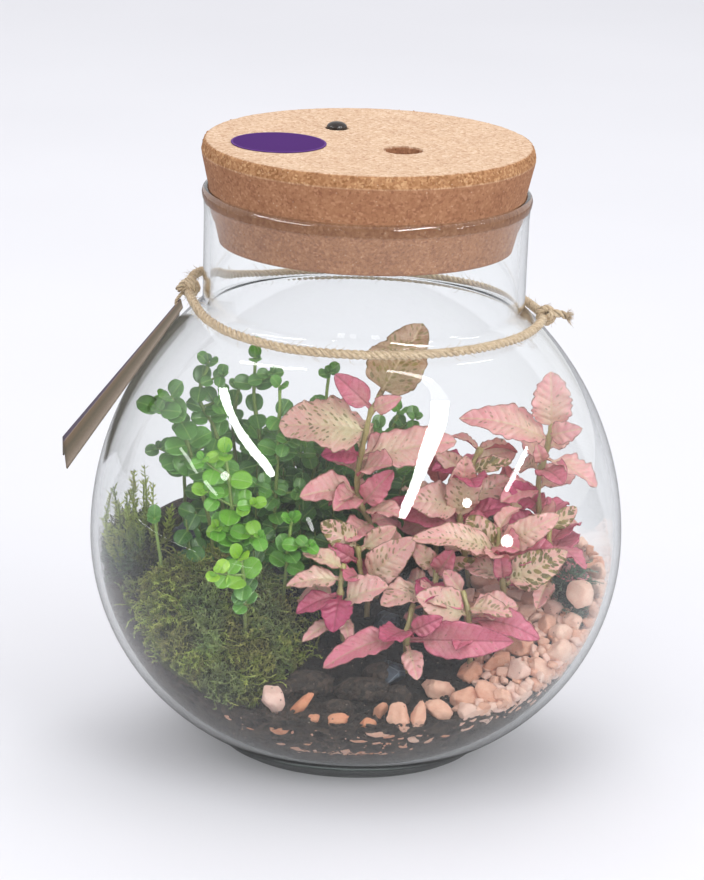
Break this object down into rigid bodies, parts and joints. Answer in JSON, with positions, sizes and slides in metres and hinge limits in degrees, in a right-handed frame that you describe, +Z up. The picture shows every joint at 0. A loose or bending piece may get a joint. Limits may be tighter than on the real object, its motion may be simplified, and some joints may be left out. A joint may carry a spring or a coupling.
{
  "type": "planted glass terrarium",
  "caption": "Round blown-glass bowl with a straight neck and cork lid, planted with pink nerve plants, green creeper, moss and gravel over soil.",
  "frame": {"origin": "middle of the bowl's flat foot, on the surface it stands on", "axes": "+Z up along the bowl's axis; -Y is the side the picture is taken from; the card tag hangs at -X"},
  "size_m": [0.2128, 0.2, 0.2359],
  "materials": {
    "glass": "clear blown glass, faint grey-green in thick places",
    "cork": "pressed cork, fine granules",
    "label": "bare purple paper sticker",
    "plug": "dark matt rubber",
    "jute": "twisted jute twine",
    "card": "folded printed board, bare",
    "soil": "moist peat soil",
    "gravel": "crushed terracotta gravel",
    "pale_stone": "pale pink stone",
    "rock": "dark blue-grey rock",
    "moss": "living moss, yellow-green tips",
    "grey_moss": "grey-green cushion moss",
    "pink_plant": "pink leaves with green speckles, olive stems",
    "green_plant": "glossy green leaves"
  },
  "bodies": {
    "root": {"glass_bowl": "glass", "cork_lid": "cork", "lid_label": "label", "vent_plug": "plug", "jute_twine": "jute", "card_tag": "card", "soil": "soil", "gravel": "gravel", "dark_rock_left": "rock", "dark_rock_middle": "rock", "dark_rock_front": "rock", "front_stone": "pale_stone", "side_stone": "gravel", "moss_front": "moss", "moss_left": "moss", "moss_right": "grey_moss", "moss_back": "moss", "pink_stem_01": "pink_plant", "pink_stem_02": "pink_plant", "pink_stem_03": "pink_plant", "pink_stem_04": "pink_plant", "pink_stem_05": "pink_plant", "pink_stem_06": "pink_plant", "pink_stem_07": "pink_plant", "pink_stem_08": "pink_plant", "pink_stem_09": "pink_plant", "pink_stem_10": "pink_plant", "pink_stem_11": "pink_plant", "pink_stem_12": "pink_plant", "green_stem_01": "green_plant", "green_stem_02": "green_plant", "green_stem_03": "green_plant", "green_stem_04": "green_plant", "green_stem_05": "green_plant", "green_stem_06": "green_plant", "green_stem_07": "green_plant", "green_stem_08": "green_plant", "green_stem_09": "green_plant", "green_stem_10": "green_plant", "green_stem_11": "green_plant", "green_stem_12": "green_plant", "green_stem_13": "green_plant", "green_stem_14": "green_plant"}
  },
  "joints": []
}
